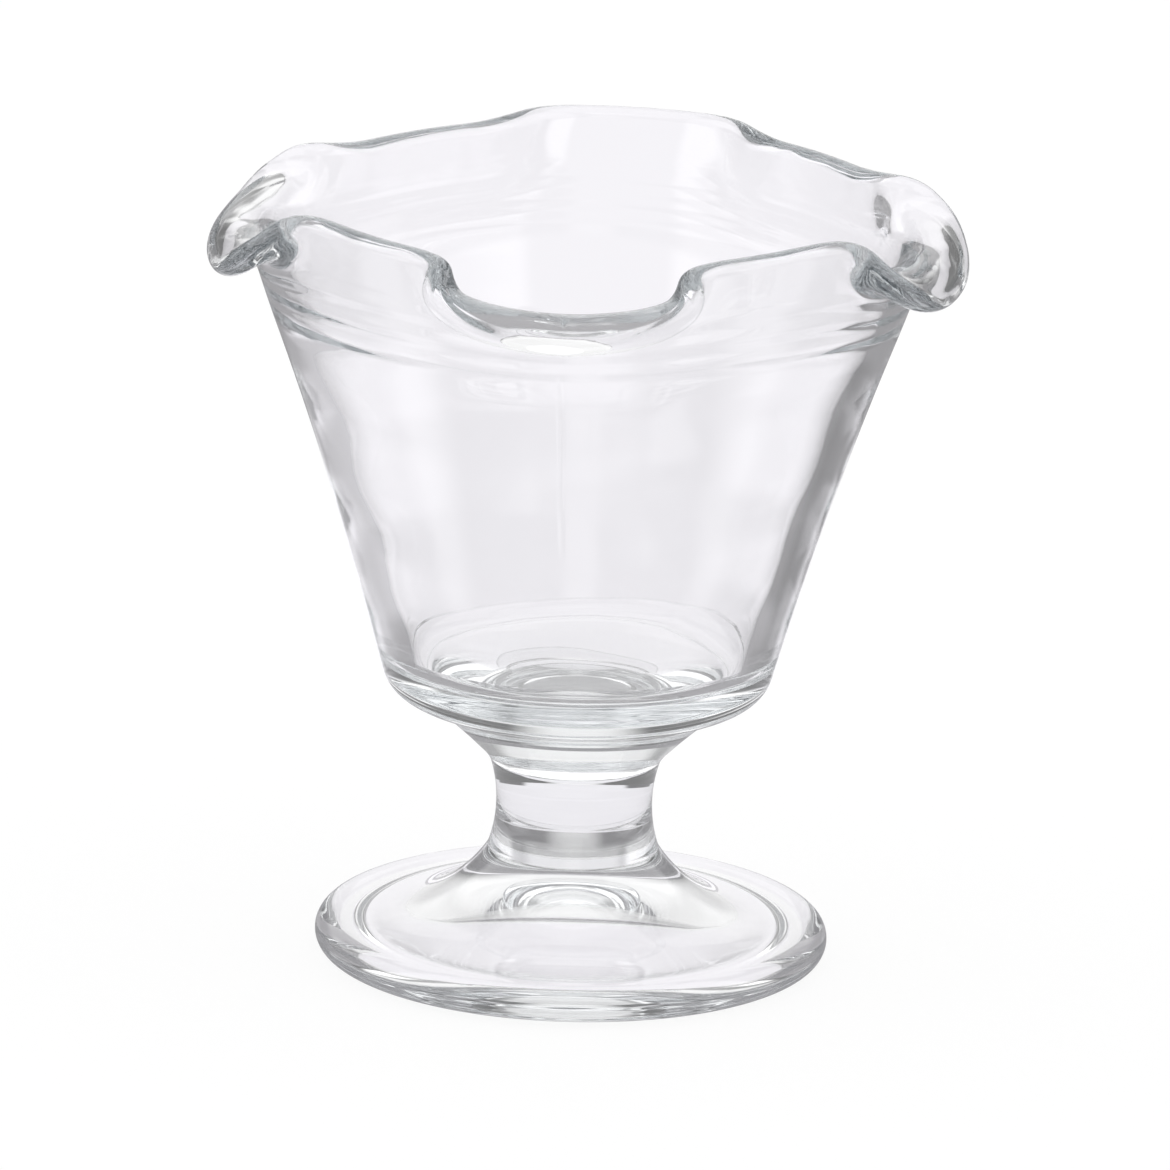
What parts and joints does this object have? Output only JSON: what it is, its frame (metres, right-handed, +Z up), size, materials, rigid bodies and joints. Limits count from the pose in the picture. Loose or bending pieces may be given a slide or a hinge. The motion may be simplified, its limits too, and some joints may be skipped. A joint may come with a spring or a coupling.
{
  "type": "footed dessert glass",
  "caption": "Short footed dessert glass with a conical bowl, a waved rim of turned-out lips, a waisted stem and a round swept foot, for ice cream or layered desserts.",
  "frame": {"origin": "centre of the standing ring under the foot, on the table", "axes": "+Z up along the axis of the foot, stem and bowl; -Y towards the front lip; +X to the right of it"},
  "size_m": [0.1148, 0.1112, 0.1207],
  "materials": {
    "clear_glass": "fire-polished, clear"
  },
  "bodies": {
    "root": {"bowl": "clear_glass", "stem": "clear_glass", "foot": "clear_glass"}
  },
  "joints": []
}
